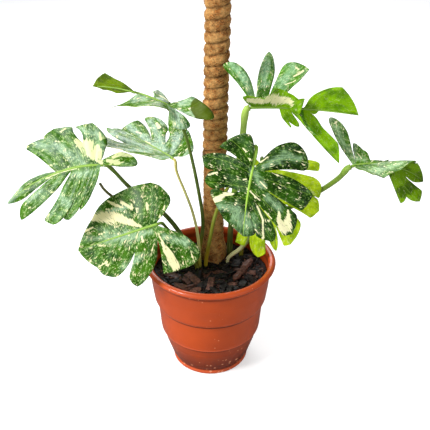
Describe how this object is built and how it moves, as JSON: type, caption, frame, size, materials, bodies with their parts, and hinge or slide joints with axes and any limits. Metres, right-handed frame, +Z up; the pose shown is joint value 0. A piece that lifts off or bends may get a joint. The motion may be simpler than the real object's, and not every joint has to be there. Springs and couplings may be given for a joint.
{
  "type": "potted thai constellation monstera",
  "caption": "Variegated monstera with broad split leaves on long stems, tied up a coir pole in a round terracotta coloured nursery pot with bark chip soil.",
  "frame": {"origin": "centre of the pot's flat underside, on the floor", "axes": "+Z up along the pot, -Y towards the viewer of the front, +X to the viewer's right"},
  "size_m": [0.7678, 0.2684, 0.7831],
  "materials": {
    "terracotta_plastic": "orange brown moulded plastic, half gloss, a few dried water specks",
    "potting_mix": "dark loose mix with bark chips",
    "stake_wood": "plain sawn stake end",
    "coir": "brown coconut fibre mat and wound rope",
    "root": "matt dark green brown root",
    "blade": "glossy green leaf with cream marbling, lime green below",
    "petiole_pale": "smooth pale yellow green stem",
    "petiole_bright": "smooth bright green stem",
    "petiole_dark": "smooth dark green stem"
  },
  "bodies": {
    "root": {"pot": "terracotta_plastic", "soil": "potting_mix", "pole_stake": "stake_wood", "pole_coir": "coir", "aerial_root": "root", "leaf_front_left": "blade", "leaf_left": "blade", "leaf_upper_left": "blade", "leaf_middle_left": "blade", "leaf_upper_right": "blade", "leaf_right": "blade", "leaf_front_centre": "blade", "leaf_behind_centre": "blade", "petiole_front_left": "petiole_pale", "petiole_left": "petiole_dark", "petiole_upper_left": "petiole_dark", "petiole_middle_left": "petiole_pale", "petiole_upper_right": "petiole_bright", "petiole_right": "petiole_bright", "petiole_front_centre": "petiole_bright", "petiole_behind_centre": "petiole_dark"}
  },
  "joints": []
}
